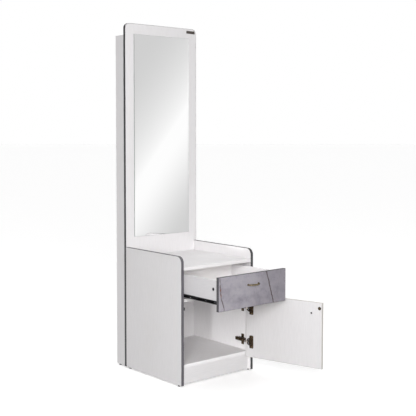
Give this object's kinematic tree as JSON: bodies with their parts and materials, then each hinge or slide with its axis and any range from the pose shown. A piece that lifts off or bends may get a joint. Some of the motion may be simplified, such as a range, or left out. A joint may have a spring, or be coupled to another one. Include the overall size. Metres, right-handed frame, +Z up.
{
  "type": "salon styling station",
  "caption": "Tall mirror board with an edge-banded frame, on a side cabinet that has a drawer on slides over a compartment with a hinged door.",
  "frame": {"origin": "on the floor, midway between the sides, in the plane of the rear face that stands against a wall", "axes": "+Z up along the mirror's height, +Y backwards towards the wall, +X to the viewer's right; the mirror, drawer and door face -Y"},
  "size_m": [0.5463, 0.9117, 1.708],
  "materials": {
    "white_laminate": "white melamine-faced board, fine satin texture",
    "charcoal_edge_band": "charcoal PVC edge band, matte",
    "stone_laminate": "grey stone-pattern laminate with thin dark veins, on board",
    "mirror_glass": "silvered float glass with polished edges",
    "name_plate": "blank dark name plate",
    "black_plastic": "black moulded plastic",
    "black_steel": "black coated steel",
    "cam_fitting": "dark die-cast cam",
    "hardboard": "white-faced hardboard",
    "bronzed_steel": "antique-bronze plated steel",
    "antique_brass": "antique brass, darkened in the hollows",
    "zinc_screw": "zinc-plated steel"
  },
  "bodies": {
    "carcass": {"mirror_board": "white_laminate", "mirror_board_edge_band": "charcoal_edge_band", "mirror_glass": "mirror_glass", "name_plate": "name_plate", "rear_left_upright": "white_laminate", "rear_right_upright": "white_laminate", "rear_top_rail": "white_laminate", "rear_middle_rail": "white_laminate", "rear_bottom_rail": "white_laminate", "left_side_panel": "white_laminate", "left_side_edge_band": "charcoal_edge_band", "right_side_panel": "white_laminate", "right_side_edge_band": "charcoal_edge_band", "top_board": "white_laminate", "divider_shelf": "white_laminate", "bottom_board": "white_laminate", "plinth_board": "white_laminate", "left_front_glide": "black_plastic", "right_front_glide": "black_plastic", "left_middle_glide": "black_plastic", "right_middle_glide": "black_plastic", "left_rear_glide": "black_plastic", "right_rear_glide": "black_plastic", "left_slide_outer": "black_steel", "right_slide_outer": "black_steel", "magnetic_catch": "black_plastic", "upper_hinge_plate": "bronzed_steel", "upper_hinge_arm": "bronzed_steel", "upper_hinge_pin": "zinc_screw", "lower_hinge_plate": "bronzed_steel", "lower_hinge_arm": "bronzed_steel", "lower_hinge_pin": "zinc_screw"},
    "drawer": {"drawer_front": "stone_laminate", "drawer_front_edge_band": "charcoal_edge_band", "drawer_left_side": "white_laminate", "drawer_right_side": "white_laminate", "drawer_back": "white_laminate", "drawer_bottom": "hardboard", "drawer_handle": "antique_brass", "left_handle_screw": "zinc_screw", "right_handle_screw": "zinc_screw", "left_slide_inner": "black_steel", "right_slide_inner": "black_steel", "left_cam_fitting": "cam_fitting", "right_cam_fitting": "cam_fitting"},
    "slide_middles": {"left_slide_middle": "black_steel", "right_slide_middle": "black_steel"},
    "door": {"door_panel": "white_laminate", "door_edge_band": "white_laminate", "door_knob": "antique_brass", "knob_screw": "zinc_screw", "strike_disc": "bronzed_steel", "upper_hinge_cup": "bronzed_steel", "lower_hinge_cup": "bronzed_steel"},
    "hinge_links": {"upper_hinge_link": "bronzed_steel", "lower_hinge_link": "bronzed_steel"}
  },
  "joints": [
    {"name": "drawer_slide", "type": "slide", "parent": "carcass", "child": "drawer", "axis": [0, -1, 0], "range_m": [-0.24, 0.11]},
    {"name": "slide_middle_run", "type": "slide", "parent": "carcass", "child": "slide_middles", "axis": [0, -1, 0], "range_m": [-0.1201, 0.0551]},
    {"name": "door_swing", "type": "hinge", "parent": "carcass", "child": "door", "pos_m": [0.1995, -0.517, 0.2275], "axis": [0, 0, 1], "range_deg": [-105, 3]},
    {"name": "hinge_link_swing", "type": "hinge", "parent": "carcass", "child": "hinge_links", "pos_m": [0.201, -0.5, 0.231], "axis": [0, 0, 1], "range_deg": [-43, 1.33]}
  ],
  "couplings": [
    {"joint": "slide_middle_run", "follows": "drawer_slide", "ratio": 0.5},
    {"joint": "hinge_link_swing", "follows": "door_swing", "ratio": 0.4086}
  ]
}
